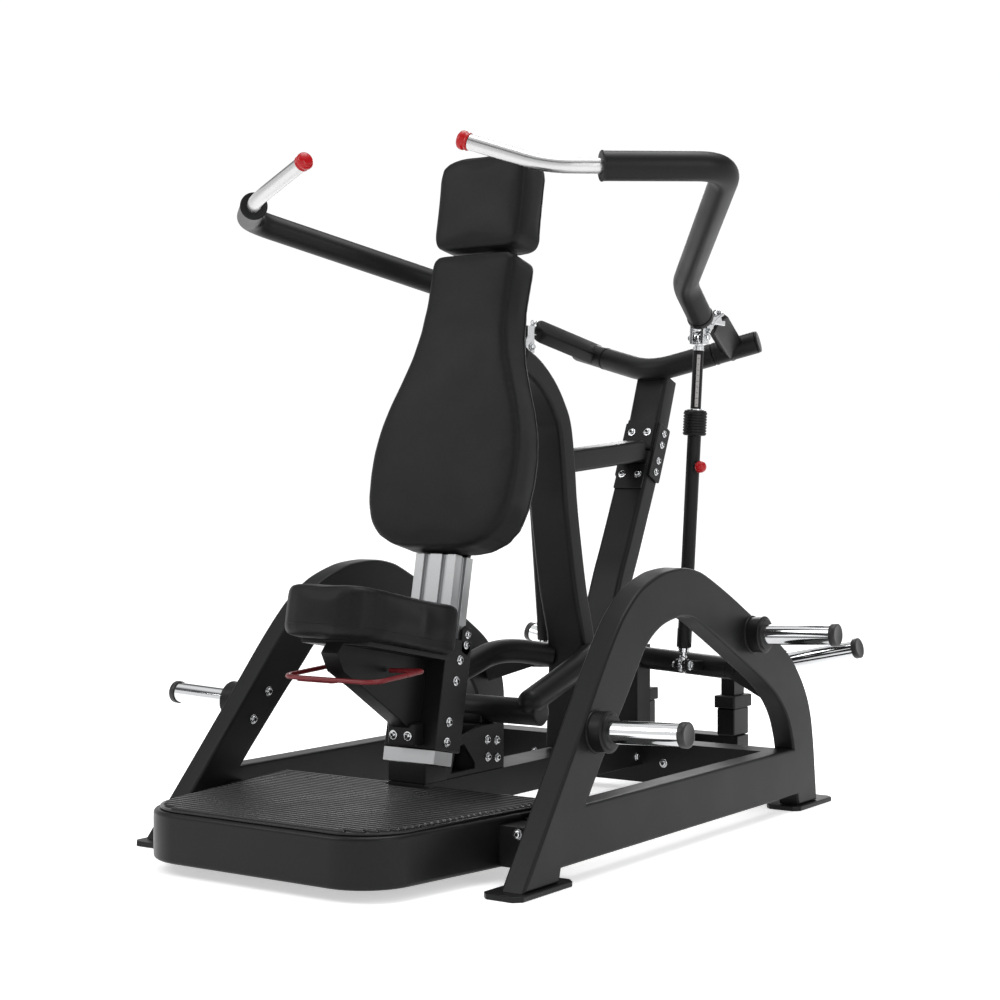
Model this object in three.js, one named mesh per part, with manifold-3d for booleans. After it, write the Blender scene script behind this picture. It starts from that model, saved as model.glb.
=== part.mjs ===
// Plate-loaded lat pulldown machine: two arched side frames, a padded seat on a sliding carriage,
// a leaning backrest, and two independent pull arms. Each arm drives a weight lever through a telescopic rod.
// Millimetres, +Z up, the user faces -Y. Right-hand pieces are at +X.
import * as THREE from "three";
import { mergeVertices } from "three/addons/utils/BufferGeometryUtils.js";
import Module from "manifold-3d";

const wasm = await Module();
wasm.setup();

// ---- driving dimensions -------------------------------------------------
const GAP = 0.4; // clearance between touching pieces
const FRAME_FOOT_X = 534; // outer face of a side frame at the floor
const FRAME_LEAN = 42 / 645; // inward lean of the side frames
const FRAME_T = 58; // thickness of a side frame tube
const FOOT_T = 12;
const HINGE = new THREE.Vector3(0, 750, 1160); // where the two tilted hinge axes meet
const HINGE_DIR = new THREE.Vector3(1, 0.3, 0.27).normalize();
const SLEEVE_X = [172.5, 288]; // hinge sleeve of a pull arm
const ROD_TOP = new THREE.Vector3(275, 527, 1229);
const ROD_LOW = new THREE.Vector3(218, 543, 362);
const HUB_IN = new THREE.Vector3(40, 650, 365); // weight lever hub, inner and outer end
const HUB_OUT = new THREE.Vector3(300, 650, 350);
const HORN_Y = 950; // weight horn and its bumper
const COL_LEAN = Math.atan(0.197);
const COL_FOOT = new THREE.Vector3(0, -357, 222); // middle of the column's front face at its lower end
const COL_L = 464;
const COL_W = 118;
const COL_D = 70;
const PAD_LEAN = Math.atan(0.253);
const HEAD_LEAN = Math.atan(0.165);
const PAD_T = 106;

// ---- materials ----------------------------------------------------------
const mat = (color, roughness, metalness) => () =>
  new THREE.MeshStandardMaterial({ color, roughness, metalness });
const coat = mat(0x242424, 0.5, 0.2);
const rubber = mat(0x161616, 0.85, 0);
const vinyl = mat(0x191919, 0.6, 0);
const alu = mat(0xb9bbbd, 0.35, 0.9);
const chrome = mat(0xe4e6e8, 0.08, 1);
const satin = mat(0xb4b6b8, 0.4, 0.9);
const steel = mat(0xc9cbcd, 0.25, 1);
const red = mat(0xb3202a, 0.25, 0);
const redSteel = mat(0x8c2a2e, 0.4, 0.1);
const plastic = mat(0x1b1b1b, 0.55, 0);

// ---- solids -------------------------------------------------------------
function solid(geometry) {
  const g = geometry.index ? geometry.toNonIndexed() : geometry.clone();
  for (const k of Object.keys(g.attributes)) if (k !== "position") g.deleteAttribute(k);
  const m = mergeVertices(g, 1e-3);
  return new wasm.Manifold(
    new wasm.Mesh({
      numProp: 3,
      vertProperties: m.attributes.position.array,
      triVerts: new Uint32Array(m.index.array),
    }),
  );
}
function geometryOf(s) {
  const m = s.getMesh();
  const n = m.numProp;
  const v = new Float32Array(m.numVert * 3);
  for (let i = 0; i < m.numVert; i++) v.set(m.vertProperties.subarray(i * n, i * n + 3), i * 3);
  const g = new THREE.BufferGeometry()
    .setAttribute("position", new THREE.BufferAttribute(v, 3))
    .setIndex(new THREE.BufferAttribute(new Uint32Array(m.triVerts), 1))
    .toNonIndexed();
  g.computeVertexNormals();
  return g;
}
const V = (x, y, z) => new THREE.Vector3(x, y, z);
const join = (...list) => list.reduce((a, b) => a.add(b));

// Frame with its third axis along d and its first axis as close to side as it can be.
function along(d, side = V(1, 0, 0)) {
  const w = d.clone().normalize();
  if (Math.abs(side.dot(w)) > 0.95) side = V(0, 0, 1);
  const u = side.clone().addScaledVector(w, -side.dot(w)).normalize();
  const v = w.clone().cross(u);
  return new THREE.Matrix4().makeBasis(u, v, w);
}
// Round bar from a to b.
function bar(a, b, r, n = 20, r2 = r) {
  const g = new THREE.CylinderGeometry(r2, r, a.distanceTo(b), n).rotateX(Math.PI / 2);
  const m = along(b.clone().sub(a)).setPosition(a.clone().add(b).multiplyScalar(0.5));
  return solid(g.applyMatrix4(m));
}
// Box section from a to b: w across (along side) and h deep.
function beam(a, b, w, h, side = V(1, 0, 0)) {
  const g = new THREE.BoxGeometry(w, h, a.distanceTo(b));
  const m = along(b.clone().sub(a), side).setPosition(a.clone().add(b).multiplyScalar(0.5));
  return solid(g.applyMatrix4(m));
}
const block = (x0, x1, y0, y1, z0, z1) =>
  solid(new THREE.BoxGeometry(x1 - x0, y1 - y0, z1 - z0).translate((x0 + x1) / 2, (y0 + y1) / 2, (z0 + z1) / 2));
// Polyline through the points with each inner corner rounded.
function rounded(points, r) {
  const path = new THREE.CurvePath();
  let from = points[0];
  for (let i = 1; i < points.length - 1; i++) {
    const p = points[i];
    const a = points[i - 1].clone().sub(p).normalize();
    const b = points[i + 1].clone().sub(p).normalize();
    const k = Array.isArray(r) ? r[i - 1] : r;
    const s = p.clone().addScaledVector(a, k);
    const e = p.clone().addScaledVector(b, k);
    path.add(new THREE.LineCurve3(from, s));
    path.add(new THREE.QuadraticBezierCurve3(s, p, e));
    from = e;
  }
  path.add(new THREE.LineCurve3(from, points[points.length - 1]));
  return path;
}
function ngon(r, n) {
  const s = new THREE.Shape();
  for (let i = 0; i < n; i++) {
    const a = (i / n) * 2 * Math.PI;
    if (i) s.lineTo(r * Math.cos(a), r * Math.sin(a));
    else s.moveTo(r * Math.cos(a), r * Math.sin(a));
  }
  s.closePath();
  return s;
}
const tube = (points, bend, r, n, steps) =>
  solid(new THREE.ExtrudeGeometry(ngon(r, n), { steps, extrudePath: rounded(points, bend), bevelEnabled: false, curveSegments: 1 }));
// Closed outline, always counter-clockwise.
function shapeOf(pts) {
  const v = pts.map((p) => new THREE.Vector2(p[0], p[1]));
  if (THREE.ShapeUtils.area(v) < 0) v.reverse();
  return new THREE.Shape(v);
}
// Outline given in (y, z), extruded along x from x0 to x1.
const YZX = new THREE.Matrix4().makeBasis(V(0, 1, 0), V(0, 0, 1), V(1, 0, 0));
function side(pts, x0, x1, holes = []) {
  const s = shapeOf(pts);
  for (const h of holes) s.holes.push(new THREE.Path(h.map((p) => new THREE.Vector2(p[0], p[1]))));
  const g = new THREE.ExtrudeGeometry(s, { depth: x1 - x0, bevelEnabled: false, curveSegments: 1 });
  return solid(g.applyMatrix4(YZX).translate(x0, 0, 0));
}
// Outline given in (x, y), extruded upwards.
function plan(pts, z0, z1) {
  const g = new THREE.ExtrudeGeometry(shapeOf(pts), { depth: z1 - z0, bevelEnabled: false, curveSegments: 1 });
  return solid(g.translate(0, 0, z0));
}
// Ring of outer radius r and bore q from a to b.
const ring = (a, b, r, q, n = 24) => {
  const d = b.clone().sub(a).normalize();
  return bar(a, b, r, n).subtract(bar(a.clone().addScaledVector(d, -5), b.clone().addScaledVector(d, 5), q, n));
};
const smooth = (pts, n) =>
  new THREE.SplineCurve(pts.map((p) => new THREE.Vector2(p[0], p[1]))).getPoints(n).map((p) => [p.x, p.y]);

// ---- the tree -----------------------------------------------------------
const machine = new THREE.Group();
machine.name = "lat_pulldown";
const made = [];
function put(name, s, material) {
  const mesh = new THREE.Mesh(geometryOf(s), material());
  mesh.name = name;
  machine.add(mesh);
  made.push(mesh);
}
const flip = (s) => s.mirror([1, 0, 0]);
// A piece made for the right-hand side, and its mirror image.
function pair(name, s, material) {
  put(name + "_R", s, material);
  put(name + "_L", flip(s), material);
}

// ---- side frames --------------------------------------------------------
const frameOuter = (z) => FRAME_FOOT_X - FRAME_LEAN * z;
const frameInner = (z) => frameOuter(z) - FRAME_T;
const STORAGE = [
  { tag: "front", y: -378, z: 306, len: 226 },
  { tag: "rear", y: 385, z: 466, len: 231 },
];
const hornAt = (y, z, len) => {
  const d = V(len, 0, 9).normalize();
  return (t) => V(frameOuter(z), y, z).addScaledVector(d, t);
};
// What lies inwards of the middle of the frame tube, round one flange.
const insideOfFrame = (y, z) => block(frameOuter(z) - 200, frameOuter(z) - 14, y - 60, y + 60, z - 70, z + 70);
const archOuter = [
  [-691, FOOT_T + GAP],
  ...smooth([[-640, 74], [-441, 312], [-331, 446], [-263, 521], [-219, 560], [-154, 602], [-66, 632], [0, 642], [60, 644], [118, 636], [167, 621], [270, 575], [366, 527], [428, 495], [556, 423], [615, 377], [667, 311], [694, 245], [702, 163], [701, 72]], 32),
  [700, FOOT_T + GAP],
  [590, FOOT_T + GAP],
  [586, 40],
  [-545, 40],
  [-556, FOOT_T + GAP],
];
const archHole = [
  [-432, 158],
  ...smooth([[-400, 195], [-286, 320], [-245, 362], [-173, 440], [-131, 480], [-69, 512], [-2, 527], [50, 529], [99, 519], [175, 483], [288, 425], [442, 344], [515, 291], [556, 240], [576, 185]], 24),
  [580, 158],
];
const shear = new THREE.Matrix4().set(1, 0, -FRAME_LEAN, 0, 0, 1, 0, 0, 0, 0, 1, 0, 0, 0, 0, 1);
{
  const s = shapeOf(archOuter);
  s.holes.push(new THREE.Path(archHole.map((p) => new THREE.Vector2(p[0], p[1]))));
  const g = new THREE.ExtrudeGeometry(s, { depth: FRAME_T, bevelEnabled: false, curveSegments: 1 });
  g.applyMatrix4(YZX).translate(FRAME_FOOT_X - FRAME_T, 0, 0).applyMatrix4(shear);
  // the flanges that carry the storage horns are welded to the frame
  const flanges = STORAGE.map(({ y, z, len }) => {
    const at = hornAt(y, z, len);
    return join(bar(at(-20), at(34), 47, 20), bar(at(33), at(40), 38, 20)).subtract(insideOfFrame(y, z));
  });
  pair("side_frame", join(solid(g), ...flanges), coat);
}
const plate = (x0, x1, y0, y1, c) => [[x0 + c, y0], [x1 - c, y0], [x1, y0 + c], [x1, y1 - c], [x1 - c, y1], [x0 + c, y1], [x0, y1 - c], [x0, y0 + c]];
pair("foot_front", plan(plate(446, 544, -724, -508, 16), 0, FOOT_T), coat);
pair("foot_rear", plan(plate(446, 544, 562, 782, 16), 0, FOOT_T), coat);

// ---- storage horns on the side frames ----------------------------------
for (const { tag, y, z, len } of STORAGE) {
  const at = hornAt(y, z, len);
  pair("storage_horn_" + tag, join(bar(at(40 + GAP), at(len - 15), 25, 20), bar(at(len - 16), at(len), 28, 20)), chrome);
}

// ---- base: spine, cross tubes, platform --------------------------------
put(
  "base_spine",
  join(
    block(-52, 52, -384.5, 700, 76, 150),
    block(-52, 52, -478, -383.5, 76, 122),
    block(-52, 52, 690, 984, 76, 128),
    block(-frameInner(140) + GAP, frameInner(140) - GAP, 612, 692, 27, 140),
    block(-188, 188, 916, 984, 62, 128),
    block(-frameInner(128) + GAP, frameInner(128) - GAP, -480, -430, 62, 122),
  ),
  coat,
);
const platOut = [];
{
  const c = [];
  for (let i = 0; i <= 8; i++) {
    const a = -Math.PI / 2 + (i / 8) * (Math.PI / 2 - 0.14);
    c.push([215 + 130 * Math.cos(a), -798 + 130 * Math.sin(a)]);
  }
  platOut.push(...c, [394, -482], ...[[394, -482], ...c.slice().reverse()].map((p) => [-p[0], p[1]]));
}
const treadOut = platOut.map(([x, y]) => (y > -490 ? [Math.sign(x) * 409, -352] : [x, y])).map(([x, y]) => [x * 0.977, -355 + (y + 352) * 0.9705]);
put("platform", join(plan(platOut, 26, 134), block(380, 466, -560, -482, 30, 118), block(-466, -380, -560, -482, 30, 118), plan([[-409, -352], [-393.5, -484], [393.5, -484], [409, -352], [56.5, -352], [56.5, -385.5], [-56.5, -385.5], [-56.5, -352]], 122 + GAP, 134)), plastic);
{
  const first = -927;
  const pitch = 18.5;
  const pts = [[first, 134 + GAP], [-353, 134 + GAP], [-353, 140]];
  for (let y = -358; y > first + 14; y -= pitch) pts.push([y, 140], [y - 2, 144], [y - 9, 144], [y - 11, 140]);
  pts.push([first, 140]);
  put("platform_tread", side(pts, -430, 430).intersect(plan(treadOut, 100, 200)).subtract(block(-58, 58, -387, -300, 100, 200)), rubber);
}

// ---- column and its foot ------------------------------------------------
const colUp = V(0, Math.sin(COL_LEAN), Math.cos(COL_LEAN));
const colBack = V(0, Math.cos(COL_LEAN), -Math.sin(COL_LEAN));
// Places a solid built with x across, y backwards from the column's front face and z up along the column.
const colFrame = new THREE.Matrix4().makeBasis(V(1, 0, 0), colBack, colUp).setPosition(COL_FOOT);
const onColumn = (s) => s.transform(colFrame.elements);
{
  const w = COL_W / 2;
  const outline = [
    [-w, 0], [-34, 0], [-34, 9], [-18, 9], [-18, 0], [18, 0], [18, 9], [34, 9], [34, 0], [w, 0],
    [w, 26], [w - 9, 26], [w - 9, 44], [w, 44], [w, COL_D], [-w, COL_D], [-w, 44], [-w + 9, 44], [-w + 9, 26], [-w, 26],
  ];
  put("column", onColumn(plan(outline, 0, COL_L)), alu);
  put("column_shoe", onColumn(block(-w - 15, w + 15, -16, COL_D - 14, -28, 3.6).subtract(block(-w - GAP, w + GAP, -GAP, COL_D + 1, -GAP, 10))), alu);
  put("column_foot", side([[-384, 150 + GAP], [-297, 150 + GAP], [-297, 181], [-384, 198.1]], -54, 54), coat);
}
const gusset = [[-296, 150 + GAP], [-56, 150 + GAP], [-56, 262], [-150, 262], [-215, 248], [-258, 232], [-268, 222], [-268, 205], [-296, 205]];
const gussetHole = [[-276, 161], [-257, 218], [-224, 226], [-179, 177], [-179, 162]];
put(
  "gusset_plates",
  join(
    side(gusset, 40, 50, [gussetHole]),
    side(gusset, -50, -40, [gussetHole]),
    block(-45, 45, -150, -66, 150 + GAP, 262),
  ),
  coat,
);

// ---- brace and uprights -------------------------------------------------
const crossA = V(-182, -95, 296);
const crossB = V(182, -95, 296);
const ball = (c, r) => solid(new THREE.SphereGeometry(r, 16, 10).translate(c.x, c.y, c.z));
const brace = (s) => tube([V(s * 163, -108, 322), V(s * 149, 212, 413), V(s * 36, 335, 389)], [75], 31, 12, 16);
const cuPoints = [[322, 150 + GAP], [330, 300], [333, 420], [293, 560], [263, 700], [245, 800], [236, 880], [219, 984], [190, 1038], [146, 1088], [88, 1130], [24, 1158]];
const cu = smooth(cuPoints, 26);
const cuEnd = cu[cu.length - 1].map((c, i) => c + (c - cu[cu.length - 2][i]) * 0.06);
const cuCut = [...cu, cuEnd];
function ribbon(line, half) {
  const a = [];
  const b = [];
  line.forEach((p, i) => {
    const q = line[Math.max(i - 1, 0)];
    const r = line[Math.min(i + 1, line.length - 1)];
    const l = Math.hypot(r[0] - q[0], r[1] - q[1]);
    const n = [(r[1] - q[1]) / l, -(r[0] - q[0]) / l];
    a.push([p[0] + n[0] * half, p[1] + n[1] * half]);
    b.push([p[0] - n[0] * half, p[1] - n[1] * half]);
  });
  return [...a, ...b.reverse()];
}
const flatFoot = (pts) => pts.map(([y, z]) => [y, Math.max(z, 150 + GAP)]);
put("upright_front", side(flatFoot(ribbon(cu, 31)), -58, 58), coat);
put(
  "brace_frame",
  join(ball(V(163, -108, 322), 31), ball(V(-163, -108, 322), 31), bar(crossA, crossB, 32, 16), beam(V(0, -95, 262 + GAP), V(0, -95, 290), 60, 60), brace(1), brace(-1)).subtract(side(flatFoot(ribbon(cu, 31 + GAP)), -58.4, 58.4)),
  coat,
);
const ru = smooth([[420, 150 + GAP], [440, 300], [476, 430], [535, 575], [580, 665], [655, 820], [705, 926]], 14);
put("upright_rear", side(flatFoot(ribbon(ru, 34)), -48, 48), coat);
// The upper part of the rear upright carries the hinge tube.
const topA = V(0, 706 + 0.6, 926 + 1.2);
const topB = V(0, 782, 1128);
const stubA = HINGE.clone().addScaledVector(HINGE_DIR, 176);
const mir = (p) => V(-p.x, p.y, p.z);
const axisAt = (x) => HINGE.clone().addScaledVector(HINGE_DIR, x / HINGE_DIR.x);
// splice plates either side of the joint between the two upright pieces
function splice(s) {
  const a = V(0, 672, 856);
  const b = V(0, 738, 1006);
  const m = along(b.clone().sub(a)).setPosition(a.clone().add(b).multiplyScalar(0.5));
  return solid(new THREE.BoxGeometry(7, 62, 164).translate(s * (48 + GAP + 3.5), 0, 0).applyMatrix4(m));
}
put(
  "hinge_tube",
  join(
    bar(axisAt(0), axisAt(171.5), 32, 16),
    bar(mir(axisAt(0)), mir(axisAt(171.5)), 32, 16),
    solid(new THREE.SphereGeometry(32, 14, 8).translate(0, HINGE.y, HINGE.z)),
    bar(axisAt(150), axisAt(292), 15, 16),
    bar(mir(axisAt(150)), mir(axisAt(292)), 15, 16),
    bar(axisAt(288.8), axisAt(294), 30, 16),
    bar(mir(axisAt(288.8)), mir(axisAt(294)), 30, 16),
    splice(1),
    splice(-1),
    beam(topA, topB, 97.2, 66),
  ).subtract(side(ribbon(ru, 34 + GAP), -48.35, 48.35)),
  coat,
);
put("link_tube", beam(V(0, 284, 902), V(0, 636, 935), 76, 58).subtract(side(ribbon(cu, 31 + GAP), -60, 60)).subtract(side(ribbon(ru, 34 + GAP), -60, 60)), coat);

// ---- backrest -----------------------------------------------------------
// Placed with x across, z up the pad and y backwards from the pad's front face.
const padFrame = (lean, y, z) =>
  new THREE.Matrix4().makeBasis(V(1, 0, 0), V(0, Math.cos(lean), -Math.sin(lean)), V(0, Math.sin(lean), Math.cos(lean))).setPosition(V(0, y, z));
const XZY = new THREE.Matrix4().makeBasis(V(1, 0, 0), V(0, 0, 1), V(0, -1, 0));
function padSolid(half, lean, y, z, t) {
  const pts = [...half, ...half.slice().reverse().map((p) => [-p[0], p[1]])];
  const g = new THREE.ExtrudeGeometry(shapeOf(pts), { depth: t - 24, bevelEnabled: true, bevelThickness: 12, bevelSize: 10, bevelOffset: -10, bevelSegments: 2, curveSegments: 1 });
  g.applyMatrix4(XZY).translate(0, t - 12, 0).applyMatrix4(padFrame(lean, y, z));
  return solid(g);
}
// half outline: x and the height along the pad, from the bottom upwards
const backHalf = [[88, 0], [125, 8], [165, 28], [194, 62], [210, 110], [217, 170], [217, 235], [208, 295], [191, 352], [166, 415], [144, 475], [130, 540], [124, 610], [124, 712], [119, 731], [104, 741]];
const headHalf = [[98, 0], [120, 8], [129, 28], [129, 192], [123, 215], [104, 229], [65, 238]];
put("back_pad", padSolid(backHalf, PAD_LEAN, -299, 692, PAD_T), vinyl);
put("head_pad", padSolid(headHalf, HEAD_LEAN, -113, 1418, PAD_T), vinyl);
{
  const s = Math.sin(PAD_LEAN);
  const c = Math.cos(PAD_LEAN);
  const at = (up, back) => V(0, -299 + up * s + back * c, 692 + up * c - back * s);
  const board = padSolid(backHalf.map(([x, h]) => [x * 0.9, 20 + h * 0.945]), PAD_LEAN, -299, 692, 10 + 24);
  const spine = join(
    beam(at(60, PAD_T + GAP + 8), at(880, PAD_T + GAP + 8 + 20), 70, 14),
    beam(V(0, 30, 1166), at(560, PAD_T + 14), 70, 40),
    onColumn(block(-42, 42, COL_D + GAP, COL_D + 12, 392, 474)),
    beam(V(0, -196, 656), at(70, PAD_T + 16), 84, 12),
  );
  put("back_bracket", spine.subtract(padGap()).subtract(side(ribbon(cuCut, 31.8), -80, 80)).subtract(onColumn(block(-62, 62, -1, COL_D + 1, 0, COL_L + 1))), coat);
}
function padGap() {
  return join(padSolid(backHalf, PAD_LEAN, -299 + GAP, 692, PAD_T), padSolid(headHalf, HEAD_LEAN, -113 + GAP, 1418, PAD_T));
}

// ---- bumper posts -------------------------------------------------------
pair("bumper_post", block(126, 181, HORN_Y - 42, HORN_Y + 50, 128 + GAP, 207), coat);
pair("bumper_cap", block(121, 187, HORN_Y - 52, HORN_Y + 61, 207 + GAP, 243), rubber);

// ---- weight levers ------------------------------------------------------
const hubDir = HUB_OUT.clone().sub(HUB_IN).normalize();
const hubAt = (x) => HUB_IN.clone().addScaledVector(hubDir, (x - HUB_IN.x) / hubDir.x);
put(
  "lever_shaft",
  join(
    bar(hubAt(-2), hubAt(320), 15, 20),
    bar(mir(hubAt(-2)), mir(hubAt(320)), 15, 20),
    block(-36, 36, 615, 685, 150 + GAP, 400),
    bar(hubAt(301), hubAt(330), 30, 20),
    bar(mir(hubAt(301)), mir(hubAt(330)), 30, 20),
    beam(hubAt(322), V(frameInner(300) - 2, 600, 300), 46, 46, V(0, 0, 1)),
    beam(mir(hubAt(322)), mir(V(frameInner(300) - 2, 600, 300)), 46, 46, V(0, 0, 1)),
  )
    .subtract(solid(new THREE.BoxGeometry(200, 900, 600).translate(frameInner(0) + 100 - GAP, 500, 300).applyMatrix4(shear)))
    .subtract(solid(new THREE.BoxGeometry(200, 900, 600).translate(-frameInner(0) - 100 + GAP, 500, 300).applyMatrix4(new THREE.Matrix4().set(1, 0, FRAME_LEAN, 0, 0, 1, 0, 0, 0, 0, 1, 0, 0, 0, 0, 1)))),
  coat,
);
{
  const hornA = V(132, HORN_Y, 306);
  const hornB = V(322, HORN_Y, 347);
  const d = hornB.clone().sub(hornA).normalize();
  const hubStart = hubAt(42);
  const body = join(
    bar(hubStart, hubAt(300), 30, 16),
    beam(hubAt(262), V(236, HORN_Y, 328), 54, 50),
    bar(hornA, hornB, 30, 16),
    block(134, 176, HORN_Y - 30, HORN_Y + 30, 243.6, 300),
    beam(hubAt(202), V(202, 543, 362), 7, 24),
    beam(hubAt(234), V(234, 543, 362), 7, 24),
    bar(V(198.5, 543, 362), V(205.5, 543, 362), 16, 14),
    bar(V(230.5, 543, 362), V(237.5, 543, 362), 16, 14),
  ).subtract(bar(hubAt(20), hubAt(310), 15.5, 20));
  pair("weight_lever", body, coat);
  const on = (t) => hornB.clone().addScaledVector(d, t);
  pair("weight_horn", join(bar(on(GAP), on(213), 25, 20), bar(on(212), on(228), 28, 20)), chrome);
}

// ---- telescopic rods ----------------------------------------------------
{
  const d = ROD_LOW.clone().sub(ROD_TOP).normalize();
  const at = (s) => ROD_TOP.clone().addScaledVector(d, s);
  const L = ROD_TOP.distanceTo(ROD_LOW);
  const xw = V(1, 0, 0);
  const eye = (c, toward, stem = 34) => {
    const e = join(bar(c.clone().addScaledVector(xw, -8), c.clone().addScaledVector(xw, 8), 17, 20), bar(c, c.clone().addScaledVector(toward, stem), 9, 14));
    return e;
  };
  pair("rod_end_top", eye(ROD_TOP, d).subtract(bar(ROD_TOP.clone().addScaledVector(xw, -20), ROD_TOP.clone().addScaledVector(xw, 20), 8, 16)), steel);
  pair("rod_inner", bar(at(34 + GAP), at(190), 14, 20), coat);
  pair("rod_collar", bar(at(190 + GAP), at(258), 31, 24), plastic);
  pair("rod_outer", join(bar(at(258 + GAP), at(L - 98), 18, 20), bar(at(L - 99), at(L - 48), 19.5, 16)), coat);
  pair("rod_end_low", eye(ROD_LOW, d.clone().negate(), 48 - GAP).subtract(bar(ROD_LOW.clone().addScaledVector(xw, -20), ROD_LOW.clone().addScaledVector(xw, 20), 8, 16)), steel);
  const out = V(0.88, -0.48, 0).normalize();
  const k = at(341);
  const p = (t) => k.clone().addScaledVector(out, t);
  const knob = join(bar(p(18.5), p(30), 5, 12), solid(new THREE.SphereGeometry(16, 12, 8).translate(...p(38).toArray())));
  pair("pull_pin", knob, red);
}

// ---- pull arms ----------------------------------------------------------
const YOKE = V(290, 608, 1280); // upper end of the block on the hinge sleeve
const ARM_END = V(292, 505, 1279); // lower end of the arm tube
const ARM_BEND = V(316, 373, 1354);
const ARM_OUTER = V(710, -140, 1542);
{
  const a = axisAt(SLEEVE_X[0]);
  const b = axisAt(SLEEVE_X[1]);
  const mid = a.clone().add(b).multiplyScalar(0.5);
  const yoke = YOKE;
  const bend = ARM_BEND;
  const outer = ARM_OUTER;
  const joint = V(505, -346, 1534);
  const arm = join(
    bar(a, b, 31, 16),
    beam(mid, yoke, 44, 56, V(1, 0, 0)),
    beam(yoke.clone().add(V(0, 26, 0)), ARM_END.clone().add(V(0, -22, 2)), 38, 34, V(1, 0, 0)),
    tube([ARM_END, bend, outer, joint], [42, 60], 33, 12, 32),
  ).subtract(bar(axisAt(150), axisAt(320), 15.5, 20));
  pair("pull_arm", arm, coat);
  const hd = V(505, -346, 1534).clone().sub(outer).normalize();
  const h0 = joint.clone().addScaledVector(hd, GAP);
  const kink = joint.clone().addScaledVector(hd, 118);
  const tip = V(243, -472, 1594);
  pair("handle", tube([h0, kink, tip], [40], 17.5, 12, 14), satin);
  const td = tip.clone().sub(kink).normalize();
  pair("handle_cap", join(bar(tip.clone().addScaledVector(td, GAP), tip.clone().addScaledVector(td, 21), 21.5, 20), bar(tip.clone().addScaledVector(td, 20), tip.clone().addScaledVector(td, 28), 21.5, 20, 13)), red);
  // clevis under the arm for the rod's upper end
  const c = ROD_TOP;
  const clevis = join(
    beam(V(c.x - 16, c.y, c.z - 16), V(c.x - 15, c.y, 1288), 8, 32),
    beam(V(c.x + 16, c.y, c.z - 16), V(c.x + 20, c.y, 1288), 8, 32),
    block(c.x - 16, c.x + 34, c.y - 16, c.y + 16, 1252, 1276),
    bar(V(c.x - 24, c.y, c.z), V(c.x + 24, c.y, c.z), 6, 16),
  ).subtract(armGap(yoke, bend, mid));
  const parts = clevis.decompose().sort((p, q) => q.volume() - p.volume());
  pair("arm_clevis", parts[0], steel);
}
function armGap(yoke, bend, mid) {
  return join(
    tube([ARM_END.clone().lerp(bend, -0.01), bend, ARM_OUTER, V(505, -346, 1534)], [42, 60], 33.5, 12, 32),
    beam(yoke.clone().add(V(0, 28, 0)), ARM_END.clone().add(V(0, -23, 2)), 39, 35, V(1, 0, 0)),
    beam(mid, yoke, 45, 57, V(1, 0, 0)),
  );
}

// ---- seat ---------------------------------------------------------------
{
  const w = COL_W / 2;
  // carriage: a sleeve round the column, in the column's own frame
  const sleeve = block(-w - 15, w + 15, -16, COL_D + 14, 4, 268).subtract(block(-w - 1.2, w + 1.2, -1.2, COL_D + 1.2, -10, 300));
  put("seat_carriage", onColumn(sleeve), coat);
  const cut = onColumn(block(-w - 30, w + 30, -16 - GAP, COL_D + 60, -50, 420));
  const seatLean = Math.atan(0.18);
  const seatPlate = new THREE.Matrix4().makeRotationX(-seatLean).setPosition(V(0, -495, 468));
  const base = solid(new THREE.BoxGeometry(190, 300, 12).applyMatrix4(seatPlate));
  const wedgeTop = side([[-662, 470], [-640, 428], [-566, 384], [-388, 270], [-368, 262], [-325, 425], [-325, 438], [-642, 494]], -24, 24);
  put("seat_bracket", join(wedgeTop, base).subtract(cut), coat);
  const half = [[58, -226], [88, -219], [110, -202], [123, -176], [127, -140], [126, -90], [120, 20], [121, 90], [126, 132], [114, 152], [92, 160]];
  const pts = [...half, ...half.slice().reverse().map(([x, y]) => [-x, y])];
  const g = new THREE.ExtrudeGeometry(shapeOf(pts), { depth: 112 - 36, bevelEnabled: true, bevelThickness: 18, bevelSize: 14, bevelOffset: -14, bevelSegments: 3, curveSegments: 1 });
  g.translate(0, 0, 18 + 6 + GAP).applyMatrix4(seatPlate);
  put("seat_pad", solid(g).subtract(onColumn(block(-w - 6, w + 6, -10, COL_D + 60, -50, 620))), vinyl);
  // release loop under the seat
  const loop = tube([V(-30, -484, 420), V(-130, -484, 424), V(-132, -668, 413), V(132, -668, 413), V(130, -484, 424), V(30, -484, 420)], [24, 40, 40, 24], 5.5, 8, 40);
  put("release_loop", loop, redSteel);
}

// ---- the part's frame: middle of the box, on the floor ------------------
const box = new THREE.Box3();
for (const m of made) box.union(new THREE.Box3().setFromBufferAttribute(m.geometry.getAttribute("position")));
machine.position.set(-(box.min.x + box.max.x) / 2, -(box.min.y + box.max.y) / 2, -box.min.z);

export default machine;
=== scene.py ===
import bpy
import bmesh
import math
import random
from mathutils import Matrix, Vector
from mathutils.bvhtree import BVHTree


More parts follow.
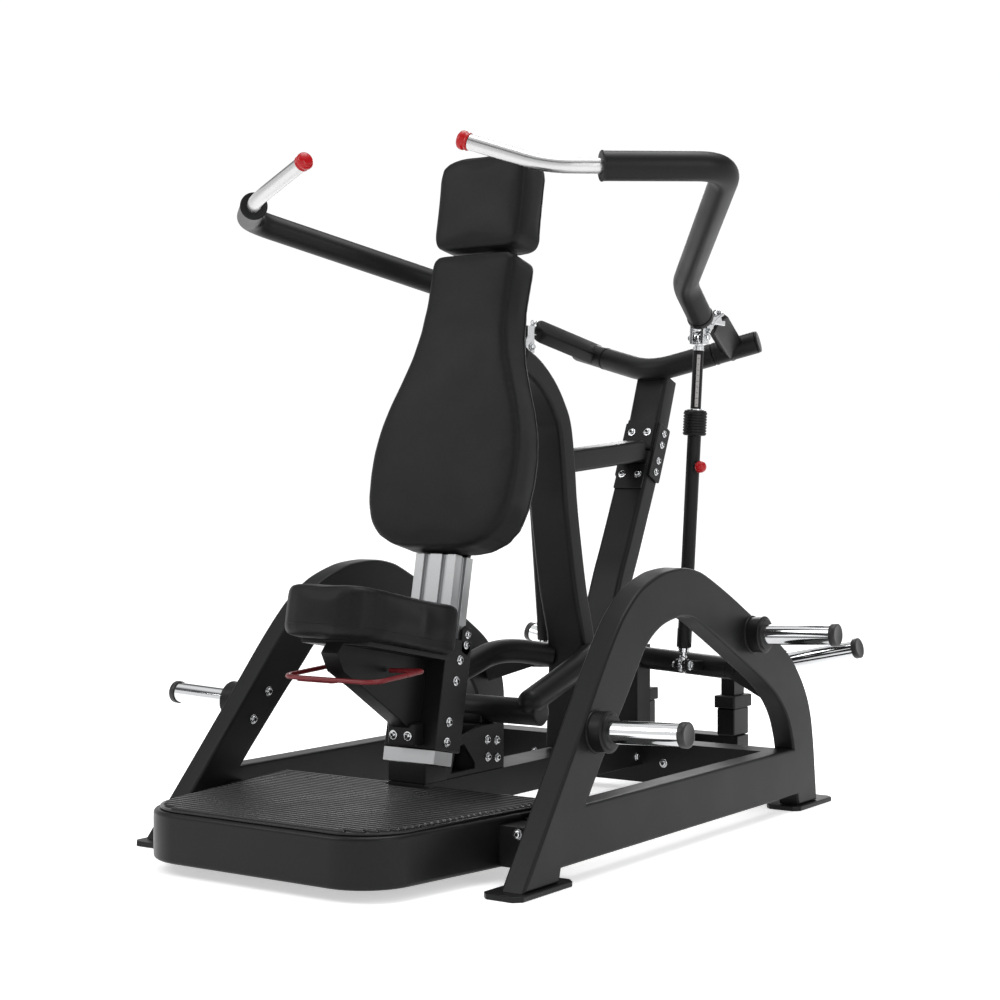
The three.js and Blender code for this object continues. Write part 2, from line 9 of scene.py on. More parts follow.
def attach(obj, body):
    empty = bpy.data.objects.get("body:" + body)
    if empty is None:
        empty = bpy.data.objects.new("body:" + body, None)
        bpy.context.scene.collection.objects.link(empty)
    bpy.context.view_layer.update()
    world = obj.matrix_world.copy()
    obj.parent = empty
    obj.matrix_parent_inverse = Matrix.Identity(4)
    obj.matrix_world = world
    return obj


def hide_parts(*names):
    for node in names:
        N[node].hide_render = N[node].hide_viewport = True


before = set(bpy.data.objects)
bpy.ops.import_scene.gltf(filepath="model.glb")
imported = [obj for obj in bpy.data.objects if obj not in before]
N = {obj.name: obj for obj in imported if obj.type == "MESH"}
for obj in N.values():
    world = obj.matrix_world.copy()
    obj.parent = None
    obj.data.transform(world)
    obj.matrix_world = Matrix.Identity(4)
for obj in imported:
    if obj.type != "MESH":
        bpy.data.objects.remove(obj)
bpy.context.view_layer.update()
SHIFT_Y = -41.5  # millimetres between the drawing frame and the part's own frame
random.seed(7)


def R(p):
    return Vector((p[0] * 0.001, (p[1] + SHIFT_Y) * 0.001, p[2] * 0.001))


def V(x, y, z):
    return Vector((x, y, z))


def mir(p):
    return Vector((-p[0], p[1], p[2]))


# ---- materials ------------------------------------------------------------
def material(name, base, rough, metal=0.0, spec=0.5, rough_var=0.06, tone_var=0.12, grain=0.0, grain_scale=900.0,
             dent=0.0, dent_scale=14.0, clear=0.0, brush=None, sheen=0.0):
    m = bpy.data.materials.new(name)
    m.use_nodes = True
    nt = m.node_tree
    b = nt.nodes["Principled BSDF"]
    b.inputs["Metallic"].default_value = metal
    b.inputs["Specular IOR Level"].default_value = spec
    b.inputs["Coat Weight"].default_value = clear
    b.inputs["Coat Roughness"].default_value = 0.06
    b.inputs["Sheen Weight"].default_value = sheen
    b.inputs["Sheen Roughness"].default_value = 0.5
    tc = nt.nodes.new("ShaderNodeTexCoord")

    def noise(scale, detail=3.0, stretch=None):
        n = nt.nodes.new("ShaderNodeTexNoise")
        n.inputs["Scale"].default_value = scale
        n.inputs["Detail"].default_value = detail
        if stretch:
            mp = nt.nodes.new("ShaderNodeMapping")
            mp.inputs["Scale"].default_value = stretch
            nt.links.new(tc.outputs["Object"], mp.inputs["Vector"])
            nt.links.new(mp.outputs["Vector"], n.inputs["Vector"])
        else:
            nt.links.new(tc.outputs["Object"], n.inputs["Vector"])
        return n

    def span(out, lo, hi):
        r = nt.nodes.new("ShaderNodeMapRange")
        r.inputs["From Min"].default_value = 0.3
        r.inputs["From Max"].default_value = 0.7
        r.inputs["To Min"].default_value = lo
        r.inputs["To Max"].default_value = hi
        nt.links.new(out, r.inputs["Value"])
        return r.outputs["Result"]

    wide = noise(9.0, 4.0)
    fine = noise(160.0, 2.0, brush)
    nt.links.new(span(wide.outputs["Fac"], rough - rough_var, rough + rough_var), b.inputs["Roughness"])
    mix = nt.nodes.new("ShaderNodeMix")
    mix.data_type = "RGBA"
    mix.inputs["A"].default_value = (*[c * (1 - tone_var) for c in base], 1)
    mix.inputs["B"].default_value = (*[min(1, c * (1 + tone_var)) for c in base], 1)
    nt.links.new(span(fine.outputs["Fac"], 0, 1), mix.inputs["Factor"])
    nt.links.new(mix.outputs["Result"], b.inputs["Base Color"])
    last = None
    for amount, scale in ((dent, dent_scale), (grain, grain_scale)):
        if amount:
            k = nt.nodes.new("ShaderNodeBump")
            k.inputs["Strength"].default_value = 1.0
            k.inputs["Distance"].default_value = amount
            nt.links.new(noise(scale, 2.0, brush if scale == grain_scale else None).outputs["Fac"], k.inputs["Height"])
            if last:
                nt.links.new(last.outputs["Normal"], k.inputs["Normal"])
            last = k
    if last:
        nt.links.new(last.outputs["Normal"], b.inputs["Normal"])
    return m


COAT = material("frame_coat", (0.0065, 0.0065, 0.0068), 0.40, spec=0.16, rough_var=0.03, grain=0.00002, grain_scale=700)
VINYL = material("upholstery", (0.0070, 0.0070, 0.0072), 0.46, spec=0.12, rough_var=0.04, grain=0.00008, grain_scale=520, dent=0.0003, dent_scale=5)
RUBBER = material("rubber", (0.0085, 0.0085, 0.0085), 0.50, spec=0.17, grain=0.00005, grain_scale=800)
TREAD = material("tread_rubber", (0.0075, 0.0075, 0.0075), 0.30, spec=0.30, rough_var=0.04, grain=0.00003, grain_scale=800)
PLASTIC = material("black_plastic", (0.0068, 0.0068, 0.0070), 0.36, spec=0.16, rough_var=0.04, grain=0.00002, grain_scale=600)
ALU = material("column_aluminium", (0.40, 0.405, 0.41), 0.34, metal=1.0, rough_var=0.05, tone_var=0.05, brush=(8, 8, 0.4), grain=0.000006, grain_scale=240)
CHROME = material("chrome", (0.66, 0.67, 0.68), 0.06, metal=1.0, rough_var=0.02, tone_var=0.02)
SATIN = material("handle_satin", (0.50, 0.50, 0.50), 0.26, metal=1.0, rough_var=0.02, tone_var=0.02)
STEEL = material("bright_steel", (0.56, 0.57, 0.58), 0.18, metal=1.0, rough_var=0.05, tone_var=0.05)
RED = material("red_knob", (0.33, 0.0015, 0.004), 0.24, spec=0.30, rough_var=0.02, tone_var=0.04)
REDSTEEL = material("release_red", (0.135, 0.012, 0.015), 0.32, spec=0.25, clear=0.08)
STRIP = material("scale_strip", (0.30, 0.285, 0.285), 0.45, spec=0.3, tone_var=0.05)
# Near-black steel: the real colour of the horn end caps and the scale's graduation marks, and painted shade inside the
# bolt recesses.
DARK_STEEL_AND_SHADE = material("dark_steel_and_shade", (0.020, 0.020, 0.021), 0.34, spec=0.25)
SLOT = {
    "frame_coat": COAT, "upholstery": VINYL, "rubber": RUBBER, "black_plastic": PLASTIC, "column_aluminium": ALU,
    "chrome": CHROME, "handle_satin": SATIN, "bright_steel": STEEL, "red_knob": RED, "release_red": REDSTEEL,
}


# ---- geometry in millimetres ------------------------------------------------
class Geo:
    def __init__(self):
        self.v, self.f, self.m = [], [], []

    def add(self, verts, faces, mat=0):
        k = len(self.v)
        self.v += [tuple(p) for p in verts]
        self.f += [tuple(i + k for i in f) for f in faces]
        self.m += [mat] * len(faces)
        return self

    def flip(self):
        g = Geo()
        g.v = [(-x, y, z) for x, y, z in self.v]
        g.f = [tuple(reversed(f)) for f in self.f]
        g.m = list(self.m)
        return g

    def build(self, name, mats, body, replaces=(), slot=None, sharp=38, weighted=False):
        me = bpy.data.meshes.new(name)
        me.from_pydata([R(p) for p in self.v], [], self.f)
        for m in mats:
            me.materials.append(m)
        for p, m in zip(me.polygons, self.m):
            p.material_index = m
        bm = bmesh.new()
        bm.from_mesh(me)
        bmesh.ops.recalc_face_normals(bm, faces=bm.faces)
        bm.to_mesh(me)
        bm.free()
        for p in me.polygons:
            p.use_smooth = True
        me.set_sharp_from_angle(angle=math.radians(sharp))
        me.update()
        o = bpy.data.objects.new(name, me)
        bpy.context.scene.collection.objects.link(o)
        if weighted:
            w = o.modifiers.new("wn", "WEIGHTED_NORMAL")
            w.keep_sharp = True
        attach(o, body)
        if replaces:
            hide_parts(*replaces)
        return o


def basis(d, hint=None):
    w = Vector(d).normalized()
    h = Vector(hint) if hint else Vector((1, 0, 0))
    if abs(h.normalized().dot(w)) > 0.95:
        h = Vector((0, 0, 1))
    u = (h - w * h.dot(w)).normalized()
    return u, w.cross(u), w


def lathe(g, a, d, profile, n=32, mat=0, mats=None):
    """profile: (distance along d, radius) from one end to the other; a radius of 0 closes to a point."""
    u, v, w = basis(d)
    rings, verts = [], []
    for t, r in profile:
        c = Vector(a) + w * t
        if r <= 1e-6:
            rings.append([len(verts)])
            verts.append(c)
        else:
            rings.append(list(range(len(verts), len(verts) + n)))
            verts += [c + u * (r * math.cos(2 * math.pi * i / n)) + v * (r * math.sin(2 * math.pi * i / n)) for i in range(n)]
    k = len(g.v)
    g.v += [tuple(p) for p in verts]
    for j in range(len(rings) - 1):
        p, q = rings[j], rings[j + 1]
        mm = mats[j] if mats else mat
        for i in range(n):
            i2 = (i + 1) % n
            if len(p) == 1 and len(q) == 1:
                continue
            if len(p) == 1:
                f = (p[0], q[i2], q[i])
            elif len(q) == 1:
                f = (p[i], p[i2], q[0])
            else:
                f = (p[i], p[i2], q[i2], q[i])
            g.f.append(tuple(x + k for x in f))
            g.m.append(mm)
    for r, mm, rev in ((rings[0], mats[0] if mats else mat, True), (rings[-1], mats[-1] if mats else mat, False)):
        if len(r) > 1:
            f = [x + k for x in r]
            g.f.append(tuple(reversed(f)) if rev else tuple(f))
            g.m.append(mm)
    return g


def bar(g, a, b, r, e=1.5, n=32, mat=0):
    L = (Vector(b) - Vector(a)).length
    return lathe(g, a, Vector(b) - Vector(a), [(0, r - e), (e * 0.3, r - e * 0.3), (e, r), (L - e, r), (L - e * 0.3, r - e * 0.3), (L, r - e)], n, mat)


def fillet(points, bends, steps=12):
    P = [Vector(p) for p in points]
    out = [P[0]]
    for i in range(1, len(P) - 1):
        k = bends[i - 1] if isinstance(bends, (list, tuple)) else bends
        s = P[i] + (P[i - 1] - P[i]).normalized() * k
        e = P[i] + (P[i + 1] - P[i]).normalized() * k
        for j in range(steps + 1):
            t = j / steps
            out.append(s * (1 - t) ** 2 + P[i] * 2 * t * (1 - t) + e * t * t)
    out.append(P[-1])
    # closer points on the straight runs
    dense = [out[0]]
    for a, b in zip(out, out[1:]):
        c = max(1, int((b - a).length / 60))
        dense += [a.lerp(b, j / c) for j in range(1, c + 1)]
    return [p for i, p in enumerate(dense) if i == 0 or (p - dense[i - 1]).length > 1e-4]


def circle(r, n=32):
    return [(r * math.cos(2 * math.pi * i / n), r * math.sin(2 * math.pi * i / n)) for i in range(n)]


def rrect(w, h, r, k=5):
    out = []
    for cx, cy, a0 in ((w / 2 - r, h / 2 - r, 0), (-w / 2 + r, h / 2 - r, 90), (-w / 2 + r, -h / 2 + r, 180), (w / 2 - r, -h / 2 + r, 270)):
        for i in range(k + 1):
            a = math.radians(a0 + 90 * i / k)
            out.append((cx + r * math.cos(a), cy + r * math.sin(a)))
    return out


def sweep(g, path, profile, mat=0, hint=None, edge=1.5, closed=False):
    """profile swept along path, with a slightly rounded edge at each end."""
    P = [Vector(p) for p in path]
    n = len(profile)
    size = max(math.hypot(*p) for p in profile)
    frames = []
    u = None
    for i, p in enumerate(P):
        if closed:
            d = (P[(i + 1) % len(P)] - P[i - 1]).normalized()
        else:
            d = (P[min(i + 1, len(P) - 1)] - P[max(i - 1, 0)]).normalized()
        if u is None:
            u, v, w = basis(d, hint)
        else:
            u = (u - d * u.dot(d)).normalized()
            v = d.cross(u)
        frames.append((p, u.copy(), v.copy(), d))
    rings = []
    if not closed:
        p, a, b, d = frames[0]
        rings.append((p, a, b, 1 - edge / size))
        rings.append((p + d * edge, a, b, 1.0))
        rings += [(p, a, b, 1.0) for p, a, b, d in frames[1:-1]]
        p, a, b, d = frames[-1]
        rings.append((p - d * edge, a, b, 1.0))
        rings.append((p, a, b, 1 - edge / size))
    else:
        rings = [(p, a, b, 1.0) for p, a, b, d in frames]
    verts = [p + a * (x * s) + b * (y * s) for p, a, b, s in rings for x, y in profile]
    faces = []
    m = len(rings)
    for j in range(m if closed else m - 1):
        j2 = (j + 1) % m
        for i in range(n):
            i2 = (i + 1) % n
            faces.append((j * n + i, j * n + i2, j2 * n + i2, j2 * n + i))
    if not closed:
        faces.append(tuple(reversed(range(n))))
        faces.append(tuple(range((m - 1) * n, m * n)))
    return g.add(verts, faces, mat)


def box(g, x0, x1, y0, y1, z0, z1, e=3.0, mat=0):
    c = V(0, 0, 0)
    w, h = x1 - x0, y1 - y0
    mid = V((x0 + x1) / 2, (y0 + y1) / 2, 0)
    return sweep(g, [mid + V(0, 0, z0), mid + V(0, 0, (z0 + z1) / 2), mid + V(0, 0, z1)], rrect(w, h, min(e, w / 2.2, h / 2.2), 3), mat, hint=(1, 0, 0), edge=min(e, 2.0))


def catmull(pts, n):
    m = len(pts) - 1
    out = []
    for k in range(n + 1):
        p = m * k / n
        i = min(int(p), m)
        t = p - i
        p0, p1 = pts[max(i - 1, 0)], pts[i]
        p2, p3 = pts[min(i + 1, m)], pts[min(i + 2, m)]
        q = []
        for a, b, c, d in zip(p0, p1, p2, p3):
            v0, v1 = (c - a) * 0.5, (d - b) * 0.5
            q.append((2 * b - 2 * c + v0 + v1) * t ** 3 + (-3 * b + 3 * c - 2 * v0 - v1) * t ** 2 + v0 * t + b)
        out.append(tuple(q))
    return out


def slab(g, loops, depth, edge, place, mat=0, res=3):
    """A flat plate with rounded edges. loops are outlines in its plane, the first outer; place maps (a, b, depth) to millimetres."""
    cu = bpy.data.curves.new("slab", "CURVE")
    cu.dimensions = "2D"
    cu.fill_mode = "BOTH"
    cu.extrude = depth / 2 - edge
    cu.bevel_depth = edge
    cu.bevel_resolution = res
    cu.offset = -edge
    for loop in loops:
        sp = cu.splines.new("POLY")
        sp.points.add(len(loop) - 1)
        for i, (a, b) in enumerate(loop):
            sp.points[i].co = (a, b, 0, 1)
        sp.use_cyclic_u = True
    o = bpy.data.objects.new("slab", cu)
    bpy.context.scene.collection.objects.link(o)
    bpy.context.view_layer.update()
    me = bpy.data.meshes.new_from_object(o.evaluated_get(bpy.context.evaluated_depsgraph_get()))
    bm = bmesh.new()
    bm.from_mesh(me)
    bmesh.ops.remove_doubles(bm, verts=bm.verts, dist=0.02)
    bmesh.ops.dissolve_degenerate(bm, edges=bm.edges, dist=0.01)
    bm.verts.index_update()
    verts = [place(v.co.x, v.co.y, v.co.z) for v in bm.verts]
    faces = [[v.index for v in f.verts] for f in bm.faces]
    bm.free()
    bpy.data.objects.remove(o)
    bpy.data.curves.remove(cu)
    bpy.data.meshes.remove(me)
    return g.add(verts, faces, mat)


def bolt(g, p, d, r=8.5, steel=0, recess_shade=1):
    """Washer, round head and a hex recess. Material slots: steel, and a near-black colour painted on the recess walls
    and floor as shade.
    """
    # the last two bands, the recess wall and floor, take the second slot: painted shade inside the recess
    lathe(g, p, d, [(0, r + 3.2), (1.6, r + 3.2), (2.1, r + 2.7), (2.2, r + 0.3), (2.3, r - 0.1), (4.6, r), (6.2, r - 0.8), (7.2, r - 2.4), (7.4, r * 0.56), (7.2, r * 0.52), (4.6, r * 0.50)], 20, steel,
          mats=[steel] * 9 + [recess_shade] * 2)


def nut(g, p, d, r=9.5, mat=0):
    """Washer with a hexagon nut."""
    lathe(g, p, d, [(0, r + 3), (1.8, r + 3), (2.2, r + 2.4), (2.25, r - 0.5)], 20, mat)
    lathe(g, Vector(p) + Vector(d).normalized() * 2.2, d, [(0, r - 0.6), (0.8, r), (6.6, r), (7.6, r - 1.2), (7.7, 5), (10, 4.6), (10.2, 0)], 6, mat)


# ---- shared dimensions ---------------------------------------------------------
HINGE = V(0, 750, 1160)
HDIR = V(1, 0.3, 0.27).normalized()
ROD_TOP, ROD_LOW = V(275, 527, 1229), V(218, 543, 362)
HUB_IN, HUB_OUT = V(40, 650, 365), V(300, 650, 350)
HUBD = (HUB_OUT - HUB_IN).normalized()
LEAN = 42 / 645
COL = math.atan(0.197)
COL_UP, COL_BACK, COL_FOOT = V(0, math.sin(COL), math.cos(COL)), V(0, math.cos(COL), -math.sin(COL)), V(0, -357, 222)


def axis_at(x):
    return HINGE + HDIR * (x / HDIR.x)


def hub_at(x):
    return HUB_IN + HUBD * ((x - HUB_IN.x) / HUBD.x)


def frame_outer(z):
    return 534 - LEAN * z


def col(x, y, z):
    return COL_FOOT + V(x, 0, 0) + COL_BACK * y + COL_UP * z


BOTH = (("R", 1), ("L", -1))
BODY = {"R": "right", "L": "left"}


def pair(g, name, mats, body, nodes, slot, **kw):
    """g is the right-hand piece. body and nodes take the side's name; body may be base."""
    for s, k in BOTH:
        gg = g if k > 0 else g.flip()
        b = body if body in ("base", "seat") else body + "_" + BODY[s]
        gg.build(name + "_" + s, mats, b, [n + "_" + s for n in nodes], slot, **kw)


# ---- side frames ---------------------------------------------------------------
arch_out = [(-691, 12.4)] + catmull([(-640, 74), (-441, 312), (-331, 446), (-263, 521), (-219, 560), (-154, 602), (-66, 632), (0, 642), (60, 644), (118, 636), (167, 621), (270, 575), (366, 527), (428, 495), (556, 423), (615, 377), (667, 311), (694, 245), (702, 163), (701, 72)], 110) + [
    (700, 12.4), (590, 12.4), (586, 40), (-545, 40), (-556, 12.4)]
arch_in = [(-432, 158)] + catmull([(-400, 195), (-286, 320), (-245, 362), (-173, 440), (-131, 480), (-69, 512), (-2, 527), (50, 529), (99, 519), (175, 483), (288, 425), (442, 344), (515, 291), (556, 240), (576, 185)], 80) + [(580, 158)]
g = Geo()
slab(g, [arch_out, arch_in], 58, 7.0, lambda a, b, c: V(534 - 29 + c - LEAN * b, a, b), res=4)
STORAGE = (("front", -378, 306, 226), ("rear", 385, 466, 231))
for tag, y, z, L in STORAGE:
    d = V(L, 0, 9).normalized()
    a = V(frame_outer(z), y, z)
    lathe(g, a - d * 10, d, [(0, 42), (0.5, 44), (38, 44.5), (41, 46), (43.5, 46), (45, 44), (45.5, 39), (48, 38.4), (49.6, 37), (50, 33), (50.2, 26)], 48, 0)
pair(g, "frame_side", [COAT], "base", ["side_frame"], "frame_coat", weighted=True)
# welds round the flange, at its foot
g = Geo()
for tag, y, z, L in STORAGE:
    d = V(L, 0, 9).normalized()
    a = V(frame_outer(z), y, z)
    ring = []
    for i in range(40):
        t = 2 * math.pi * i / 40
        yy, zz = y + 45 * math.cos(t), z + 45 * math.sin(t)
        ring.append(V(frame_outer(zz) + 0.4, yy, zz))
    sweep(g, ring, circle(2.6 + 0.4, 8), closed=True)
pair(g, "flange_weld", [COAT], "base", [], None)

for tag, y, z, L in STORAGE:
    d = V(L, 0, 9).normalized()
    a = V(frame_outer(z), y, z)
    g = Geo()
    lathe(g, a, d, [(40.4, 24), (41, 25), (L - 17, 25), (L - 16, 24)], 48, 0)
    lathe(g, a, d, [(L - 16.4, 26.5), (L - 15.6, 27.6), (L - 14, 28), (L - 3, 28), (L - 1.2, 27.4), (L - 0.2, 25.5), (L, 23), (L - 0.6, 21), (L - 0.8, 0)], 48, 1)
    pair(g, "storage_horn_visual_" + tag, [CHROME, DARK_STEEL_AND_SHADE], "base", ["storage_horn_" + tag], "chrome")

# ---- weight horns ----------------------------------------------------------------
ha, hb = V(132, 950, 306), V(322, 950, 347)
d = (hb - ha).normalized()
g = Geo()
lathe(g, hb, d, [(0.4, 24), (1, 25), (212, 25), (213, 24)], 48, 0)
lathe(g, hb, d, [(212.4, 26.5), (213.2, 27.6), (215, 28), (225, 28), (226.8, 27.4), (227.8, 25.5), (228, 23), (227.4, 21), (227.2, 0)], 48, 1)
pair(g, "weight_horn_visual", [CHROME, DARK_STEEL_AND_SHADE], "lever", ["weight_horn"], "chrome")
# the socket's rim, where the horn leaves the lever
g = Geo()
lathe(g, hb - d * 9, d, [(0, 30.2), (0.5, 33), (8, 33), (9.2, 32), (9.4, 25.6)], 40, 0)
pair(g, "horn_socket", [COAT], "lever", [], None)

# ---- platform ----------------------------------------------------------------------
right = []
for i in range(25):
    a = -math.pi / 2 + (i / 24) * (math.pi / 2 - 0.14)
    right.append((215 + 130 * math.cos(a), -798 + 130 * math.sin(a)))
plat = right + [(394, -483), (-394, -483)] + [(-x, y) for x, y in reversed(right)]
g = Geo()
slab(g, [plat], 108, 9, lambda a, b, c: V(a, b, 80 + c), res=4)
for s in (1, -1):
    box(g, min(s * 380, s * 466), max(s * 380, s * 466), -560, -484, 30, 118, 4)
slab(g, [[(-409, -352), (-393, -490), (393, -490), (409, -352), (56.5, -352), (56.5, -385.5), (-56.5, -385.5), (-56.5, -352)]], 11.2, 3, lambda a, b, c: V(a, b, 128.2 + c), res=2)
g.build("platform_body", [PLASTIC], "base", ["platform"], "black_plastic", weighted=True)


tread = [(x * 0.977, -355 + (y + 352) * 0.9705) for x, y in ((math.copysign(409, x), -352) if y > -490 else (x, y) for x, y in plat)]
tread_mat = []
for p in tread:
    tread_mat.append(p)
    if p[1] > -360 and p[0] > 0:
        tread_mat += [(58, p[1]), (58, -387), (-58, -387), (-58, p[1])]


def tread_half_width(y):
    best = 0
    n = len(tread)
    for i in range(n):
        (xa, ya), (xb, yb) = tread[i], tread[(i + 1) % n]
        if (ya - y) * (yb - y) <= 0 and abs(yb - ya) > 1e-6:
            best = max(best, xa + (xb - xa) * (y - ya) / (yb - ya))
    return best


g = Geo()
slab(g, [tread_mat], 5.6, 1.6, lambda a, b, c: V(a, b, 137.2 + c), res=2)
y = -364.0
while y > -905:
    w = min(tread_half_width(y), tread_half_width(y - 8), tread_half_width(y + 8) or 1e9) - 7
    prof = [(-6.2, 0), (-5.8, 2.2), (-4.6, 4.0), (-2.4, 4.9), (2.4, 4.9), (4.6, 4.0), (5.8, 2.2), (6.2, 0)]
    for x0, x1 in (((-w, -63), (63, w)) if y > -394 else ((-w, w),)):
        if x1 - x0 < 40:
            continue
        verts = []
        for x, k in ((x0, 0.35), (x0 + 5, 0.9), (x0 + 9, 1.0), (x1 - 9, 1.0), (x1 - 5, 0.9), (x1, 0.35)):
            verts += [V(x, y + a * (0.6 + 0.4 * k), 139.7 + b * k) for a, b in prof]
        faces = []
        for j in range(5):
            for i in range(7):
                faces.append((j * 8 + i, (j + 1) * 8 + i, (j + 1) * 8 + i + 1, j * 8 + i + 1))
            faces.append((j * 8 + 7, (j + 1) * 8 + 7, (j + 1) * 8, j * 8))
        faces.append(tuple(range(8)))
        faces.append(tuple(reversed(range(40, 48))))
        g.add(verts, faces)
    y -= 18.5
g.build("tread_mat", [TREAD], "base", ["platform_tread"], "rubber", weighted=True)

# ---- uprights ------------------------------------------------------------------------
cu = catmull([(322, 150.4), (330, 300), (333, 420), (293, 560), (263, 700), (245, 800), (236, 880), (219, 984), (190, 1038), (146, 1088), (88, 1130), (24, 1158)], 78)
ru = catmull([(420, 150.4), (440, 300), (476, 430), (535, 575), (580, 665), (655, 820), (705, 926)], 48)


def ribbon(line, half):
    a, b = [], []
    for i, p in enumerate(line):
        q, r = line[max(i - 1, 0)], line[min(i + 1, len(line) - 1)]
        L = math.hypot(r[0] - q[0], r[1] - q[1])
        n = ((r[1] - q[1]) / L, -(r[0] - q[0]) / L)
        a.append((p[0] + n[0] * half, p[1] + n[1] * half))
        b.append((p[0] - n[0] * half, p[1] - n[1] * half))
    return [(y, max(z, 150.4)) for y, z in a + b[::-1]]


def tidy(loop):
    out = []
    for p in loop:
        if not out or math.hypot(p[0] - out[-1][0], p[1] - out[-1][1]) > 2:
            out.append(p)
    return out


g = Geo()
slab(g, [tidy(ribbon(cu, 31))], 116, 12, lambda a, b, c: V(c, a, b), res=5)
g.build("upright_front_tube", [COAT], "base", ["upright_front"], "frame_coat", weighted=True)
g = Geo()
slab(g, [tidy(ribbon(ru, 34))], 96, 12, lambda a, b, c: V(c, a, b), res=5)
g.build("upright_rear_tube", [COAT], "base", ["upright_rear"], "frame_coat", weighted=True)

# ---- brace --------------------------------------------------------------------------
g = Geo()
bar(g, V(-182, -95, 296), V(182, -95, 296), 32, 2, 40)
for s in (1, -1):
    sweep(g, fillet([V(s * 163, -108, 322), V(s * 149, 212, 413), V(s * 52, 318, 392)], [75], 14), circle(31, 36))
    lathe(g, V(s * 163, -108, 322) - V(-s * 14, 320, 91).normalized() * 31, V(-s * 14, 320, 91), [(31 - 31 * math.cos(a * 0.1571), 31 * math.sin(a * 0.1571)) for a in range(0, 11)] + [(34, 30.9)], 36)
box(g, -30, 30, -125, -65, 262.6, 300, 4)
g.build("brace_tubes", [COAT], "base", ["brace_frame"], "frame_coat")
# plastic plugs in the ends of the cross tube
g = Geo()
for s in (1, -1):
    lathe(g, V(s * 181.5, -95, 296), V(s, 0, 0), [(0, 32.6), (2.5, 32.6), (4.2, 31), (5, 27), (5.2, 0)], 36)
g.build("cross_tube_plugs", [PLASTIC], "base")

# ---- hinge tube -----------------------------------------------------------------------
g = Geo()
sweep(g, fillet([mir(axis_at(171.5)), V(0, HINGE.y, HINGE.z), axis_at(171.5)], [70], 14), circle(32, 40), edge=2)
for s in (1, -1):
    f = (lambda p: p) if s > 0 else mir
    bar(g, f(axis_at(165)), f(axis_at(292)), 15, 1, 24)
    lathe(g, f(axis_at(288.8)), f(HDIR), [(0, 29), (0.8, 30), (4.0, 30), (5.4, 28.6), (5.8, 25), (6.6, 12), (6.8, 0)], 40)
top_a, top_b = V(0, 706.6, 927.2), V(0, 782, 1128)
up = (top_b - top_a).normalized()
sweep(g, [top_a, top_a.lerp(top_b, 0.5), top_b + up * 12], rrect(97.2, 66, 11), hint=(1, 0, 0), edge=0.6)
g.build("hinge_cross_tube", [COAT], "base", ["hinge_tube"], "frame_coat")
g = Geo()
up = (top_b - top_a).normalized()
out = up.cross(V(1, 0, 0)).normalized()
if out.y > 0:
    out = -out
low_a, low_b = V(0, 655, 820), V(0, 705, 926)
lup = (low_b - low_a).normalized()
lout = lup.cross(V(1, 0, 0)).normalized()
if lout.y > 0:
    lout = -lout


def plate_on(g, c, upd, outd, w, h, t, mat=0, e=1.6):
    """A flat bolted plate, centred at c on a face whose outward direction is outd."""
    side = upd.cross(outd).normalized()
    slab(g, [rrect(w, h, 5, 3)], t, min(e, t / 2.4), lambda a, b, k: c + side * a + upd * b + outd * (k + t / 2), mat, 2)


hw = Geo()
plate_on(g, top_a + up * 46 + out * 33, up, out, 88, 90, 6)
plate_on(g, low_b - lup * 84 + lout * 34, lup, lout, 88, 74, 6)
for s in (1, -1):
    bolt(hw, top_a + up * 52 + out * 39 + V(s * 25, 0, 0), out, 8)
    bolt(hw, low_b - lup * 78 + lout * 40 + V(s * 25, 0, 0), lout, 8)
    for c, dd, oo in ((top_a + up * 60 - out * 33, up, -out), (low_b - lup * 84 - lout * 34, lup, -lout)):
        nut(hw, c + V(s * 25, 0, 0), oo, 8.5, 0)
# side splice plates
for s in (1, -1):
    c = V(s * 48.4, 705, 931)
    sd = (V(0, 738, 1006) - V(0, 672, 856)).normalized()
    plate_on(g, c, sd, V(s, 0, 0), 60, 162, 7)
    for t in (-58, -24, 24, 58):
        bolt(hw, c + sd * t + V(s * 7, 0, 0), V(s, 0, 0), 7)
g.build("splice_plates", [COAT], "base", weighted=True)

# ---- link tube between the uprights -----------------------------------------------------
g = Geo()
sweep(g, [V(0, 268, 900.5), V(0, 470, 919), V(0, 656, 937)], rrect(76, 58, 9), hint=(1, 0, 0), edge=0.6)
g.build("link_beam", [COAT], "base", ["link_tube"], "frame_coat")

# ---- pull arms --------------------------------------------------------------------------
YOKE, ARM_END, ARM_BEND, ARM_OUTER, JOINT = V(290, 608, 1280), V(292, 505, 1279), V(316, 373, 1354), V(710, -140, 1542), V(505, -346, 1534)
a, b = axis_at(172.5), axis_at(288)
mid = (a + b) / 2
g = Geo()
L = (b - a).length
lathe(g, a, HDIR, [(0, 29), (0.8, 31), (L - 0.8, 31), (L, 29)], 40, 0)
lathe(g, a + HDIR * 3, HDIR, [(0, 31), (0.6, 32.2), (7, 32.2), (7.8, 31)], 40, 0)
w = (YOKE - mid).normalized()
n = V(0.566, -0.824, 0)
n = (n - w * n.dot(w)).normalized()
side = w.cross(n).normalized()
Ly = (YOKE - mid).length
stadium = []
for i in range(17):
    t = math.pi * (i / 16) - math.pi / 2
    stadium.append((Ly - 10 + 29 * math.cos(t), 29 * math.sin(t)))
for i in range(17):
    t = math.pi * (i / 16) + math.pi / 2
    stadium.append((-6 + 29 * math.cos(t), 29 * math.sin(t)))
slab(g, [stadium], 40, 5, lambda a_, b_, c_: mid + V(-8, 0, 0) + w * a_ + side * b_ + n * c_, 0, 3)
path = fillet([ARM_END, ARM_BEND, ARM_OUTER, JOINT], [42, 72], 16)
sweep(g, path, circle(33, 44), edge=2)
